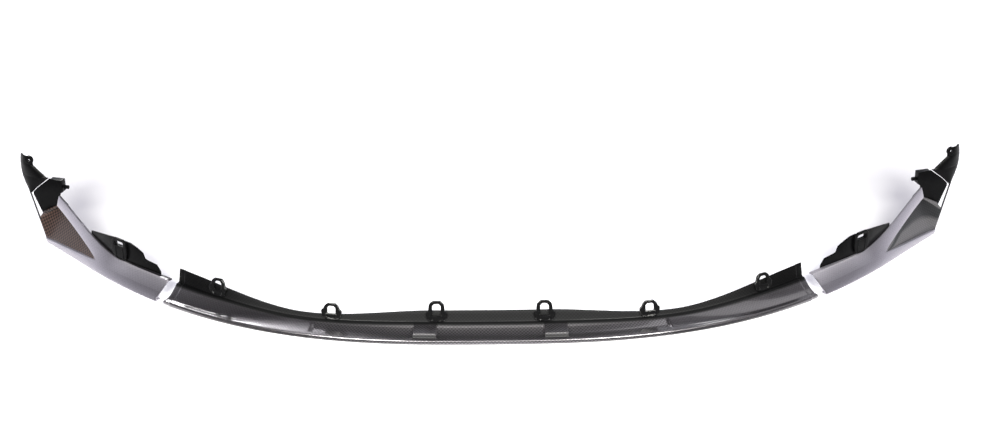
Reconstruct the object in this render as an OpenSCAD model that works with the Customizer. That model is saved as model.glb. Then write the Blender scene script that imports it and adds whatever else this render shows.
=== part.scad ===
// Three-piece front splitter lip for a car bumper.
// A centre lip and two mirror-image corner pieces, laid out in their fitted order.
// Millimetres. +X is to the right seen from the front, -Y is forward, +Z is up.
// The origin is on the ground, under the middle of the whole set.
// A station is the x of a point on the front edge. The chord is measured inward from that
// edge, square to it, so a section is drawn as [chord, height] points.

/* [Front edge] */
// How far the edge has swept back at the sweep station
sweep_back = 164; // [120:1:200]
// Station at which that sweep is measured
sweep_at = 600; // [560:5:640]
// Power of the sweep curve
sweep_power = 2.7; // [2.2:0.1:3.2]
// Station from which the edge runs straight
straight_from = 760; // [700:5:800]
// Wall of the carbon skins
skin = 2.5; // [2:0.1:3.5]

/* [Centre lip] */
// Half the width of the centre lip, along the stations
lip_half = 600; // [560:1:610]
// Radius of the nose's lower corner
nose_r = 5; // [3:0.5:6]
// Depth of the flat underside
under_depth = 85; // [60:1:95]
// Height of the rim behind the nose
rim_z = 9.5; // [8:0.5:12]
// Width of the rim's flat top
rim_w = 4; // [2:0.5:6]
// Height of the bevel on the nose's upper edge
nose_bevel = 1.5; // [1:0.5:2.5]
// Chord of the ridge at the middle
ridge_c = 42; // [38:1:50]
// Chord of the ridge at the ends
ridge_end_c = 37; // [32:1:42]
// Height of the ridge at the middle
ridge_z = 21; // [17:0.5:24]
// Height of the ridge at its dips
ridge_dip_z = 16; // [14:0.5:20]
// Height of the ridge at the ends
ridge_end_z = 30; // [24:0.5:34]
// Width of the shelf behind the ridge, on which the ears stand
shelf_w = 6; // [5.5:0.5:8]
// Rise of the shelf from the ridge back to the flange
shelf_rise = 0.5; // [0.3:0.1:1]
// Height of the back flange at the middle
flange_z = 42; // [36:1:50]
// Height of the back flange at its dips
flange_dip_z = 25; // [22:1:30]
// Height of the back flange at the ends
flange_end_z = 55; // [45:1:60]
// Angle by which the flange leans back
flange_lean = 11; // [5:0.5:15]
// Station of the two dips
dip_at = 345; // [340:5:380]
// Bevel along the cut ends
end_bevel = 1.2; // [0.5:0.1:1.5]

/* [Pockets] */
// Depth of the pockets below the rim
pocket_depth = 2; // [1:0.5:3]
// Station of the middle of each raised pad
pad_at = 117; // [110:1:140]
// Half the width of a raised pad
pad_half = 21.5; // [15:0.5:30]
// Bevel around a raised pad
pad_bevel = 1.5; // [1:0.5:2.5]
// Station at which the outer pockets end
pocket_end = 318; // [280:1:325]
// Length over which the outer pockets run out
pocket_runout = 14; // [8:1:20]

/* [Ears] */
// Station of the inner ears
inner_ear_at = 97; // [90:1:110]
// Station of the outer ears
outer_ear_at = 293; // [280:1:305]
// Distance of the end ears from the lip's ends, along the stations
end_ear_in = 84; // [70:1:110]
// Thickness of an ear
ear_t = 4.5; // [3:0.5:5]
// Width of an ear's rounded foot
ear_foot_w = 36; // [32:1:44]
// Height of an ear's foot
ear_foot_h = 18; // [16:1:22]
// Width of an ear's ring at its top
ear_ring_w = 27; // [24:1:32]
// Heights of the three ears over their shelf
ear_heights = [39, 31, 34];
// Chamfer of the ring's corners
ear_chamfer = 6; // [4:0.5:7]
// Width of the window
window_w = 15; // [12:1:18]
// Height of the window's sill over the shelf
window_sill = 12; // [10:0.5:14]
// Height of the ring's top bar over the window
ring_bar = 5.5; // [4:0.5:7]
// Glue gap between an ear and the flange
glue = 0.4; // [0.3:0.1:0.6]

/* [Corner skin] */
// Clear width between the centre lip and a corner piece, along the stations
joint_gap = 18; // [10:1:30]
// Length of a corner piece, from its near end to the outer corner on the ground
corner_l = 252; // [232:1:272]
// How far the upper arm ends short of the outer corner, along the stations
arm_short = 6; // [4:1:24]
// Distance from the near end to the kink in the top edge
kink_in = 110; // [96:1:120]
// Distance from the near end to the fork, where the recess starts between the arms
fork_in = 142; // [127:1:160]
// Height of the top edge at the near end
near_z = 29; // [24:0.5:32]
// Height of the top edge at the kink
kink_z = 34; // [30:0.5:40]
// Height of the upper arm's end
arm_z = 95; // [85:1:105]
// Chord of the top edge at the near end
near_c = 37; // [32:1:42]
// Chord of the top edge at the fork
fork_c = 25.5; // [22:0.5:30]
// Chord of the upper arm's end
arm_c = 31; // [27:1:36]
// Width of the flat along the top edge at the near end
strip_w = 10; // [6:0.5:12]
// Width of the upper arm, in height
arm_h = 20; // [15:1:26]
// Height of the fork's inner corner
fork_z = 19; // [15:1:22]
// Height of the lower arm at the outer corner
low_arm_z = 8; // [7:0.5:10]
// Depth of the recess under the upper arm
recess_up = 14; // [8:1:18]
// Depth of the recess over the lower arm
recess_low = 4; // [3:0.5:6]
// Depth of the flat underside at the near end
corner_under = 13; // [12:1:30]
// Radius of the lower edge
edge_r = 3; // [2:0.5:4]

/* [Outer edge] */
// How far the outer edge has moved along the front edge at the horn's root
horn_along = 29; // [20:1:36]
// Height of the horn's root
horn_root_z = 42; // [36:1:48]
// How far the horn's tip stays below the upper arm's end
horn_below = 3; // [2:1:10]
// Clearance between the horn's tip and the winglet
tip_gap = 1; // [0.5:0.5:3]
// Width of the horn
horn_w = 4; // [3:0.5:5]

/* [Flange bracket] */
// Distance from the corner skin's near end to the bracket, along the stations
bracket_in = 24; // [16:1:32]
// Length of the bracket along the stations
bracket_l = 144; // [128:1:156]
// Wall of the bracket
bracket_t = 2.5; // [2:0.5:4]
// Distance of the bracket's own ear from the bracket's near end
bracket_ear_in = 75; // [62:1:82]
// Width of the bracket ear's ring
bracket_ear_w = 38; // [32:1:44]
// Width of the bracket ear's window
bracket_window_w = 24; // [18:1:28]
// Height of the bracket ear over its seat
bracket_ear_h = 44; // [40:1:48]
// Height of the bracket ear's sill over its seat
bracket_sill = 29; // [26:1:32]

/* [End bracket] */
// Distance from the upper arm's end outward to the bracket's inner edge
end_out = 1.5; // [0:0.5:4]
// Distance from the upper arm's end back to the bracket's face
end_behind = 5.8; // [5.4:0.2:9]
// Angle of the bracket's face in plan
end_turn = 15.4; // [10:0.2:20]
// Wall of the moulded plastic
end_wall = 3; // [2.5:0.1:4]
// Width of the mount block
block_w = 26.5; // [22:0.5:34]
// Height of the mount block
block_h = 24; // [22:1:30]
// Depth of the mount block
block_depth = 15; // [13:1:26]
// Thickness of the winglet
winglet_t = 3.5; // [3:0.1:4.5]
// How far the winglet's middle bulges forward
winglet_bulge = 5; // [2:0.5:8]
// How far the winglet's outer edge sweeps back
winglet_sweep = 9; // [4:1:14]
// Radius of the screw hole in the winglet's lobe
lobe_hole_r = 2.75; // [2:0.25:3.5]
// Radius of the lobe around the hole
lobe_r = 8.5; // [7:0.5:10]
// Radius of the locating peg
peg_r = 3.8; // [3:0.1:4.5]
// Length of the peg beyond the block
peg_l = 10; // [7:1:14]
// Clearance between the moulded pieces
seam = 0.3; // [0.2:0.1:0.6]

/* [Hidden] */
EAR_NAMES = ["inner_ear", "outer_ear", "end_ear"];

carbon = "#3c3b40";
plastic = "#17171a";
ear_stations = [inner_ear_at, outer_ear_at, lip_half - end_ear_in];
corner_from = lip_half + joint_gap;
corner_at = corner_from + corner_l;
kink_at = corner_from + kink_in;
fork_at = corner_from + fork_in;
arm_end = corner_at - arm_short;
bracket_from = corner_from + bracket_in;
bracket_to = bracket_from + bracket_l;
bracket_ear_at = bracket_from + bracket_ear_in;

// Small helpers
function mix(a, b, t) = a + (b - a) * t;
function clamp01(t) = max(0, min(1, t));
function smooth(t) = let (u = clamp01(t)) u * u * (3 - 2 * u);
function ramp(x, from, to) = clamp01((x - from) / (to - from));

// The front edge: how far it lies behind the nose, and its slope in plan
function edge_slope(x) =
    sweep_back * sweep_power / sweep_at * pow(min(x, straight_from) / sweep_at, sweep_power - 1);
function edge_back(x) =
    sweep_back * pow(min(x, straight_from) / sweep_at, sweep_power)
    + max(0, x - straight_from) * edge_slope(x);

// A point of the right half: station, chord, height and a shift along the edge
function edge_point(x, c, z, along = 0) =
    let (m = edge_slope(x), h = sqrt(1 + m * m))
    [x + (along - c * m) / h, edge_back(x) + (c + along * m) / h, z];
// The same point on the half that the sign names
function lip_point(x, c, z) =
    let (p = edge_point(abs(x), c, z)) [x < 0 ? -p[0] : p[0], p[1], p[2]];

// An open outline moved by d to the side on which the wall lies
function unit(v) = v / norm(v);
function side_of(d) = [d[1], -d[0]];
function inset(line, d) =
    [for (i = [0:len(line) - 1])
        let (a = side_of(unit(line[max(i, 1)] - line[max(i, 1) - 1])),
             j = min(i, len(line) - 2),
             b = side_of(unit(line[j + 1] - line[j])),
             k = max(0.55, 1 + a * b))
        line[i] + (a + b) * d / k];

// A thin wall through rows of points: face[i][j] on one side, back[i][j] on the other
module shell(face, back) {
    n = len(face);
    m = len(face[0]);
    points = concat([for (r = face) for (p = r) p], [for (r = back) for (p = r) p]);
    function f(i, j) = i * m + j;
    function b(i, j) = n * m + i * m + j;
    function quad(p, q, r, s) = [[p, q, r], [p, r, s]];
    quads = concat(
        [for (i = [0:n - 2]) for (j = [0:m - 2]) quad(f(i, j), f(i, j + 1), f(i + 1, j + 1), f(i + 1, j))],
        [for (i = [0:n - 2]) for (j = [0:m - 2]) quad(b(i, j), b(i + 1, j), b(i + 1, j + 1), b(i, j + 1))],
        [for (i = [0:n - 2]) quad(f(i, 0), f(i + 1, 0), b(i + 1, 0), b(i, 0))],
        [for (i = [0:n - 2]) quad(f(i, m - 1), b(i, m - 1), b(i + 1, m - 1), f(i + 1, m - 1))],
        [for (j = [0:m - 2]) quad(f(0, j), b(0, j), b(0, j + 1), f(0, j + 1))],
        [for (j = [0:m - 2]) quad(f(n - 1, j), f(n - 1, j + 1), b(n - 1, j + 1), b(n - 1, j))]);
    polyhedron(points = points, faces = [for (q = quads) for (t = q) t], convexity = 10);
}

// Heights along the centre lip: level in the middle, a dip, then up to the end
function along_lip(x, mid, dip, end) =
    x < dip_at ? mix(mid, dip, smooth(ramp(x, pad_at - pad_half, dip_at)))
               : mix(dip, end, smooth(ramp(x, dip_at, lip_half)));
function ridge_c_at(x) = mix(ridge_c, ridge_end_c, smooth(ramp(x, dip_at, lip_half)));
function ridge_z_at(x) = along_lip(x, ridge_z, ridge_dip_z, ridge_end_z);
function flange_z_at(x) = along_lip(x, flange_z, flange_dip_z, flange_end_z);
function flange_foot_c(x) = ridge_c_at(x) + shelf_w;

// Where the top is a pad and where it is a pocket, 0 to 1
function pad_at_x(x) = clamp01((pad_half - abs(x - pad_at)) / pad_bevel);
function pocket_at_x(x) = (1 - pad_at_x(x)) * (1 - smooth(ramp(x, pocket_end, pocket_end + pocket_runout)));

// Section of the centre lip, from the back of the underside round the nose to the flange
function lip_line(x) =
    let (rc = ridge_c_at(x), rz = ridge_z_at(x), rise = rz - rim_z,
         foot_c = flange_foot_c(x), foot_z = rz + shelf_rise, top = flange_z_at(x),
         front = nose_r + rim_w, pad = pad_at_x(x), pocket = pocket_at_x(x),
         share = [0.08, 0.2, 0.45, 0.7, 0.9],
         plain = [for (s = share) rise * pow(s, 1.6)],
         raised = rise * [0.4, 0.66, 0.76, 0.88, 0.97],
         sunk = concat(-pocket_depth * [1, 1, 0.5], rise * [0.12, 0.5]))
    concat([[under_depth, 0], [nose_r, 0], [nose_r * 0.3, nose_r * 0.3], [0, nose_r],
            [nose_r * 0.3, rim_z - nose_bevel], [nose_r, rim_z], [front, rim_z]],
           [for (i = [0:4])
               [mix(front, rc, share[i]), rim_z + mix(mix(plain[i], sunk[i], pocket), raised[i], pad)]],
           [[rc, rz], [foot_c, foot_z], [foot_c + (top - foot_z) * tan(flange_lean), top]]);

// Stations of the right half of the centre lip, closer together at the pad's bevels
function steps(from, to, n) = [for (i = [0:n - 1]) mix(from, to, i / n)];
half_stations = concat(
    steps(0, pad_at - pad_half, 4), [pad_at - pad_half],
    steps(pad_at - pad_half + pad_bevel, pad_at + pad_half - pad_bevel, 3),
    [pad_at + pad_half - pad_bevel, pad_at + pad_half],
    [for (s = steps(pad_at + pad_half, pocket_end, 8)) if (s > pad_at + pad_half) s],
    steps(pocket_end, pocket_end + pocket_runout, 3),
    steps(pocket_end + pocket_runout, lip_half - 2 * end_bevel, 14),
    [lip_half - 2 * end_bevel]);
lip_stations = concat([for (i = [len(half_stations) - 1:-1:1]) -half_stations[i]], half_stations);

module centre_lip() {
    bevelled = inset(lip_line(lip_half), end_bevel);
    inner_end = inset(lip_line(lip_half), skin);
    faces = concat(
        [[for (p = bevelled) lip_point(-lip_half, p[0], p[1])]],
        [for (x = lip_stations) [for (p = lip_line(abs(x))) lip_point(x, p[0], p[1])]],
        [[for (p = bevelled) lip_point(lip_half, p[0], p[1])]]);
    backs = concat(
        [[for (p = inner_end) lip_point(-lip_half, p[0], p[1])]],
        [for (x = lip_stations) [for (p = inset(lip_line(abs(x)), skin)) lip_point(x, p[0], p[1])]],
        [[for (p = inner_end) lip_point(lip_half, p[0], p[1])]]);
    color(carbon) shell(faces, backs);
}

// An ear: a rounded foot and a chamfered ring with a window, drawn flat, standing on y = 0
function arc(cx, cz, r, from, to, n = 8) =
    [for (i = [0:n]) let (a = mix(from, to, i / n)) [cx + r * cos(a), cz + r * sin(a)]];
module ear_outline(foot_w, ring_w, h) {
    f = foot_w / 2;
    r = ring_w / 2;
    c = foot_w * 0.3;
    wing = 1.5;
    polygon(concat(arc(c - f, c, c, 180, 270), arc(f - c, c, c, 270, 360),
        [[f + wing, ear_foot_h - 2], [f + wing, ear_foot_h], [r + wing, ear_foot_h + 2],
         [r, h - ear_chamfer], [r - ear_chamfer, h], [ear_chamfer - r, h],
         [-r, h - ear_chamfer], [-r - wing, ear_foot_h + 2], [-f - wing, ear_foot_h], [-f - wing, ear_foot_h - 2]]));
}
module window_outline(full_w, sill, top) {
    w = full_w / 2;
    c = min(full_w, top - sill) * 0.25;
    polygon([[-w, sill], [w, sill], [w, top - c], [w - c, top], [c - w, top], [-w, top - c]]);
}
module ear_blank(foot_w, ring_w, window, sill, h) {
    rotate([90, 0, 0]) linear_extrude(ear_t) difference() {
        ear_outline(foot_w, ring_w, h);
        window_outline(window, sill, h - ring_bar);
    }
}

// Direction in plan of a wall whose chord changes from c0 to c1 around a station
function wall_turn(x, c0, c1) =
    let (d = edge_point(x + 5, c1, 0) - edge_point(x - 5, c0, 0)) atan2(d[1], d[0]);

// An ear stands on the shelf, its back on the flange
module lip_ear(x, h) {
    p = edge_point(x, flange_foot_c(x), ridge_z_at(x) + shelf_rise);
    color(plastic) translate(p) rotate([0, 0, wall_turn(x, flange_foot_c(x - 5), flange_foot_c(x + 5))])
        rotate([-flange_lean, 0, 0]) translate([0, -glue, glue])
        ear_blank(ear_foot_w, ear_ring_w, window_w, window_sill, h);
}

// Corner skin: chord and height of its top edge, and the heights of its two arms
function top_c(x) = x < fork_at ? mix(near_c, fork_c, smooth(ramp(x, corner_from, fork_at)))
                                : mix(fork_c, arm_c, smooth(ramp(x, fork_at, arm_end)));
function top_z(x) = x < kink_at ? mix(near_z, kink_z, ramp(x, corner_from, kink_at))
                                : mix(kink_z, arm_z, pow(ramp(x, kink_at, arm_end), 1.25));
function strip_w_at(x) = mix(strip_w, skin + 0.5, ramp(x, corner_from, kink_at));
function fork(x) = ramp(x, fork_at, arm_end);
function fold_z(x) = x < fork_at ? fork_z * top_z(x) / top_z(fork_at) : fork_z;
fold_half = 1;
function low_z(x) = mix(fold_z(x) - fold_half, low_arm_z, ramp(x, fork_at, corner_at));
function up_z(x) = mix(fold_z(x) + fold_half, arm_z - arm_h, fork(x));
function sheet_c(x, z) = top_c(x) * ramp(z, edge_r, top_z(x));
function under_c(x) = mix(corner_under, top_c(x), ramp(x, corner_from, corner_at));

// The rounded lower edge, from the back of the underside
function lower_edge(under) = [[under, 0], [edge_r, 0], [edge_r * 0.3, edge_r * 0.3], [0, edge_r]];

// Section of the corner skin: lower arm, recess floor and upper arm.
// Past the arm's end the upper arm is folded away to a narrow tab.
fold_tab = [0.6, 1.2];
function corner_line(x, arm = true) =
    let (tz = top_z(x), lz = low_z(x), uz = up_z(x), mid_z = mix(edge_r, lz, 0.5),
         deep = recess_up * fork(x), low = recess_low * ramp(fork(x), 0, 0.3),
         low_edge = [sheet_c(x, lz), lz], up_edge = [sheet_c(x, uz), uz], top_edge = [top_c(x), tz],
         floor_top = up_edge + [deep, -fold_half / 2 - deep * 0.2])
    concat(lower_edge(under_c(x)),
           [[sheet_c(x, mid_z), mid_z], low_edge, low_edge + [low * 0.9, 0.4 + low * 0.3],
            mix(low_edge + [low, fold_half], floor_top, 0.5), floor_top],
           arm ? [up_edge, mix(up_edge, top_edge, 0.5), top_edge, top_edge + [strip_w_at(x), 0]]
               : [for (k = [1:4]) floor_top + k * fold_tab]);

// Outer edge of the skin, where it meets the wheel arch; its tab lies behind the horn
horn_c = 3.5;
horn_tab = [6.5, 17];
function outer_line() =
    let (lz = low_arm_z, root = [horn_c, horn_root_z])
    concat(lower_edge(under_c(corner_at) * 0.8),
           [[0.2, mix(edge_r, lz, 0.5)], [0.4, lz], [1.6, lz + 1.4], [2.2, horn_root_z * 0.55], root],
           [for (k = [1:4]) root + horn_tab * k / 4]);
function outer_along(z) = horn_along * min(z / horn_root_z, 2 - z / horn_root_z);

// The wall's inner line; at the sharp lower corner it follows the two inner faces to where they meet
function corner_inset(line, d) =
    let (a = unit(line[4] - line[3]), s = line[3] + d * side_of(a),
         meet = [s[0] + (d - s[1]) * a[0] / a[1], d], rest = inset(line, d))
    concat([rest[0], meet + [1, 0], meet + [0.1, 0], meet + a], [for (i = [4:len(line) - 1]) rest[i]]);

function corner_ring(x, line) = [for (p = line) edge_point(x, p[0], p[1])];
function outer_ring(line) = [for (p = line) edge_point(corner_at, p[0], p[1], outer_along(p[1]))];
function blend(a, b, t) = [for (i = [0:len(a) - 1]) mix(a[i], b[i], t)];

corner_stations = concat(
    steps(corner_from + 2 * end_bevel, kink_at, 9), steps(kink_at, fork_at, 3), steps(fork_at, arm_end, 10), [arm_end]);
fold_away = 0.6;

module corner_skin() {
    start = corner_line(corner_from);
    fold_x = arm_end + fold_away;
    folded = corner_line(fold_x, false);
    far = outer_line();
    faces = concat(
        [corner_ring(corner_from, inset(start, end_bevel))],
        [for (x = corner_stations) corner_ring(x, corner_line(x))],
        [for (k = [0:3]) blend(corner_ring(fold_x, folded), outer_ring(far), k / 3)]);
    backs = concat(
        [corner_ring(corner_from, corner_inset(start, skin))],
        [for (x = corner_stations) corner_ring(x, corner_inset(corner_line(x), skin))],
        [for (k = [0:3]) blend(corner_ring(fold_x, corner_inset(folded, skin)), outer_ring(corner_inset(far, skin)), k / 3)]);
    color(carbon) {
        shell(faces, backs);
        horn();
    }
}

// The horn: the narrow strip of skin that rises outside the end bracket, its foot behind the skin
horn_foot = [47.5, -4, -59];
horn_tuck = 1.5;
module horn() {
    root = edge_point(corner_at, horn_c, horn_root_z, horn_along);
    tip = end_point(winglet_out(-horn_below) - horn_tuck, winglet_sweep * 0.6, -horn_below);
    foot = end_point(horn_foot[0], horn_foot[1], horn_foot[2]);
    rows = [for (p = [foot, root, mix(root, tip, 0.4), tip]) [p - [horn_w, 1, 0], p]];
    shell([for (r = rows) [for (p = r) p + [0, skin, 0]]], rows);
}

// Flange bracket: height of its stepped top over the kink, along its length
bracket_steps = [[0, 0], [7, 12], [29, 16], [33, 28], [46, 36], [58, 41], [89, 40], [115, 34.5], [144, 26]];
bracket_step_l = 33;
function bracket_z(x) = kink_z + lookup(x - bracket_from, bracket_steps);
function strip_back_c(x) = top_c(x) + strip_w_at(x);

module flange_bracket() {
    stations = concat(steps(bracket_from, bracket_from + bracket_step_l, 9),
                      steps(bracket_from + bracket_step_l, bracket_to, 10), [bracket_to]);
    function under_z(x) = top_z(x) - skin - seam;
    function face(x) = [edge_point(x, top_c(x) + 1.5 * skin, under_z(x) - bracket_t),
                        edge_point(x, top_c(x) + 1.5 * skin, under_z(x)),
                        edge_point(x, strip_back_c(x) + seam, under_z(x)),
                        edge_point(x, strip_back_c(x) + seam, bracket_z(x))];
    function back(x) = [edge_point(x, strip_back_c(x), under_z(x) - bracket_t),
                        edge_point(x, strip_back_c(x) + bracket_t / 2, under_z(x) - bracket_t / 2),
                        edge_point(x, strip_back_c(x) + seam + bracket_t, under_z(x)),
                        edge_point(x, strip_back_c(x) + seam + bracket_t, bracket_z(x))];
    color(plastic) difference() {
        shell([for (x = stations) face(x)], [for (x = stations) back(x)]);
        bracket_ear_frame() translate([-bracket_window_w / 2, -ear_t, bracket_sill])
            cube([bracket_window_w, 4 * ear_t, bracket_ear_h]);
    }
}

// The bracket's ear stands on the flat along the skin's top edge, its back on the bracket
module bracket_ear_frame() {
    x = bracket_ear_at;
    translate(edge_point(x, strip_back_c(x), top_z(x) + glue))
        rotate([0, 0, wall_turn(x, strip_back_c(x - 5), strip_back_c(x + 5))]) children();
}
module bracket_ear() {
    color(plastic) bracket_ear_frame() translate([0, -glue / 2, 0])
        ear_blank(ear_foot_w, bracket_ear_w, bracket_window_w, bracket_sill, bracket_ear_h);
}

// End bracket: w runs outward along its face, b behind the face and z up, from the upper arm's end
arm_tip = edge_point(arm_end, arm_c, arm_z);
function turned(w, b) = [w * cos(end_turn) - b * sin(end_turn), w * sin(end_turn) + b * cos(end_turn), 0];
end_origin = arm_tip + turned(end_out, end_behind);
function end_point(w, b, z) = end_origin + turned(w, b) + [0, 0, z];
module end_frame() {
    translate(end_origin) rotate([0, 0, end_turn]) children();
}

// Outline of the winglet: its outer edge is a parabola, its inner edge a few straight stretches
outer_max_w = 82;
outer_max_z = 50;
outer_bend = 0.0044;
function winglet_out(z) = outer_max_w - outer_bend * pow(z - outer_max_z, 2);
winglet_foot = tip_gap - horn_below;
inner_edge = [[winglet_foot, 59], [10, 47], [32, 20], [34.5, 26], [57, 49.5], [66, 50], [73, 52], [76, 54]];
function winglet_in(z) = lookup(z, inner_edge);
winglet_levels = [winglet_foot, 3, 10, 17, 25, 32, 34.5, 40, 46, 51, 57, 60, 63, 66, 70, 73, 76];
bulge_from = -15;
bulge_full = 25;
function winglet_b(f, z) =
    -winglet_bulge * 4 * f * (1 - f) * ramp(z, bulge_from, bulge_full) + winglet_sweep * f * f;
winglet_cols = 6;
function winglet_row(z, extra) =
    [for (k = [0:winglet_cols]) let (f = k / winglet_cols)
        end_point(mix(winglet_in(z), winglet_out(z), f), winglet_b(f, z) + extra, z)];
// The lobe is a boss, raised a little on both faces
lobe_w = 56.5;
lobe_z = 68;
lobe_raise = 1;
lobe_share = (lobe_w - winglet_in(lobe_z)) / (winglet_out(lobe_z) - winglet_in(lobe_z));
lobe_b = winglet_b(lobe_share, lobe_z);

module winglet() {
    color(plastic) difference() {
        union() {
            shell([for (z = winglet_levels) winglet_row(z, winglet_t)], [for (z = winglet_levels) winglet_row(z, 0)]);
            lobe_disc(lobe_r, lobe_raise);
        }
        lobe_disc(lobe_hole_r, 4 * winglet_t);
    }
}

module lobe_disc(r, beyond) {
    end_frame() translate([lobe_w, lobe_b + winglet_t + beyond, lobe_z]) rotate([90, 0, 0])
        cylinder(r = r, h = winglet_t + 2 * beyond, $fn = 48);
}

// Mount block: a face plate with a walled box behind it, open at the back
box_in = -7.5;
box_out = box_in + block_w;
box_low = 5;
box_high = box_low + block_h;
box_rib = 0.45;
plate_outline = [[box_in, box_low], [box_in, box_high], [box_out, box_high + 2], [46.5, 9.5], [56.5, -0.5], [56.5, -6],
                 [40.5, -47], [36, -47], [14, -33], [2, -15], [-2, 2], [-6, 4]];
module mount_block() {
    color(plastic) end_frame() {
        rotate([90, 0, 0]) translate([0, 0, -end_wall]) linear_extrude(end_wall) polygon(plate_outline);
        difference() {
            block_box(0, 0);
            block_box(end_wall, 1);
        }
        translate([box_in + block_w * box_rib, end_wall, box_low])
            cube([end_wall, block_depth - 2 * end_wall, block_h]);
    }
}
// The box behind the plate, or the hollow inside its walls
module block_box(wall, beyond) {
    translate([box_in + wall, end_wall, box_low + wall])
        cube([block_w - 2 * wall, block_depth - end_wall + beyond, block_h - 2 * wall]);
}
peg_up = 9;
module locating_peg() {
    color(plastic) end_frame() translate([box_in - seam, block_depth / 2, box_low + peg_up]) rotate([0, -90, 0])
        cylinder(r = peg_r, h = peg_l, $fn = 48);
}

// The nose is drawn at y = 0, and the whole set is then centred front to back
rear_back = max([for (z = winglet_levels) for (p = winglet_row(z, winglet_t)) p[1]]);
module right() {
    translate([0, -rear_back / 2, 0]) children();
}
module left() {
    mirror([1, 0, 0]) right() children();
}

right() centre_lip();
for (i = [0:2]) {
    right() lip_ear(ear_stations[i], ear_heights[i]);
    left() lip_ear(ear_stations[i], ear_heights[i]);
}
right() corner_skin();  // right_corner_skin
left() corner_skin();  // left_corner_skin
right() flange_bracket();  // right_flange_bracket
left() flange_bracket();  // left_flange_bracket
right() bracket_ear();  // right_bracket_ear
left() bracket_ear();  // left_bracket_ear
right() mount_block();  // right_mount_block
left() mount_block();  // left_mount_block
right() winglet();  // right_winglet
left() winglet();  // left_winglet
right() locating_peg();  // right_locating_peg
left() locating_peg();  // left_locating_peg
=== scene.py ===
# %% [markdown]
# # A three-piece front splitter lip
# The object is a low lip that fits under a car's front bumper. It is laid out on a white
# floor in its fitted order: a wide centre lip and two mirror-image corner pieces, all three
# moulded from clear-coated woven carbon, with black plastic ears and brackets at the back.
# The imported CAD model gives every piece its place, so it is loaded first.

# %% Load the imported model
import bpy
import math
from mathutils import Matrix, Vector


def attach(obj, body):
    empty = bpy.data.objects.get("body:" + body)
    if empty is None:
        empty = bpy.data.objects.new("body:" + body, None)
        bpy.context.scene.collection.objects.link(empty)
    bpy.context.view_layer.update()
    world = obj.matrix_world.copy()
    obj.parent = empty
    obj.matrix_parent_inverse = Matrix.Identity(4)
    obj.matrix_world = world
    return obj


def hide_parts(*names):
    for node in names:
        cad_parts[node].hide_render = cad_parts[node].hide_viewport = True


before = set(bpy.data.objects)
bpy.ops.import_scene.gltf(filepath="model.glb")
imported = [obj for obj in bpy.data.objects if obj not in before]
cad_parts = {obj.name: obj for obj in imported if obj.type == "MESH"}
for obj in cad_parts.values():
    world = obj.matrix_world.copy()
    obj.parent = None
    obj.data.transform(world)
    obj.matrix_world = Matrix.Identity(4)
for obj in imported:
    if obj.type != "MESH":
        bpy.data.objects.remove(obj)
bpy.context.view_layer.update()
scene = bpy.context.scene
MM = 0.001

# %% [markdown]
# ## Camera
# The photograph looks down on the set by 25 degrees, straight from the front, with a long
# lens. The camera's axes are worked out from that angle and a half-degree roll, and the
# camera stands 3.2 m from the point on the floor under the nose. A matrix built from the
# three axes is surer than turning the camera by hand.

# %% Camera
LENS_PX = 1828.57
IMAGE_W, IMAGE_H = 1000, 433
down, roll, reach = math.radians(25), math.radians(-0.55), 3.2
aim = Vector((0, -0.2429, 0))
aim_px = Vector((490.7, 345.5))

forward = Vector((0, math.cos(down), -math.sin(down)))
level, lifted = Vector((1, 0, 0)), Vector((0, math.sin(down), math.cos(down)))
right_axis = math.cos(roll) * level + math.sin(roll) * lifted
up_axis = math.cos(roll) * lifted - math.sin(roll) * level
ray = (forward + right_axis * (aim_px.x - IMAGE_W / 2) / LENS_PX
       - up_axis * (aim_px.y - IMAGE_H / 2) / LENS_PX)

bpy.ops.object.camera_add(location=aim - ray * reach)
camera = bpy.context.object
turn = Matrix((right_axis, up_axis, -forward)).transposed().to_4x4()
camera.matrix_world = Matrix.Translation(aim - ray * reach) @ turn
camera.data.sensor_width = 36
camera.data.lens = LENS_PX / IMAGE_W * camera.data.sensor_width
camera.data.clip_end = 60
scene.camera = camera
scene.view_settings.view_transform = "Standard"
print("camera at", [round(v, 3) for v in camera.location], "lens", round(camera.data.lens, 2))

# %% [markdown]
# ## Small helpers
# Operators act on whatever is selected, so each step starts from an empty selection and
# picks its own piece. Every modifier is applied at once, so the finished piece is a plain
# mesh at the origin.

# %% Helpers for selecting and finishing
def only(piece):
    """Leaves one object selected and active, in object mode."""
    if bpy.context.mode != "OBJECT":
        bpy.ops.object.mode_set(mode="OBJECT")
    bpy.ops.object.select_all(action="DESELECT")
    if piece:
        piece.select_set(True)
        bpy.context.view_layer.objects.active = piece
    return piece


def apply_modifier(piece, kind, **settings):
    """Adds a modifier with these settings and applies it."""
    only(piece)
    modifier = piece.modifiers.new(kind.title(), kind)
    for key, value in settings.items():
        setattr(modifier, key, value)
    bpy.ops.object.modifier_apply(modifier=modifier.name)
    return piece


def thicken(piece, thickness, even=True):
    """Gives a sheet a thickness behind its face, in millimetres."""
    return apply_modifier(piece, "SOLIDIFY", thickness=thickness * MM, offset=-1,
                          use_even_offset=even)


def bevel(piece, width, segments=3, angle=50):
    """Rounds the edges that are sharper than the angle; the width is in millimetres."""
    return apply_modifier(piece, "BEVEL", width=width * MM, segments=segments,
                          limit_method="ANGLE", angle_limit=math.radians(angle))


def edit_all(piece, operator, **settings):
    """Runs one edit-mode operator on the whole mesh."""
    only(piece)
    bpy.ops.object.mode_set(mode="EDIT")
    bpy.ops.mesh.select_all(action="SELECT")
    operator(**settings)
    bpy.ops.object.mode_set(mode="OBJECT")
    return piece


def join(name, pieces):
    """Makes one object of several."""
    only(pieces[0])
    for piece in pieces:
        piece.select_set(True)
    bpy.ops.object.join()
    bpy.context.object.name = name
    return bpy.context.object


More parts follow.
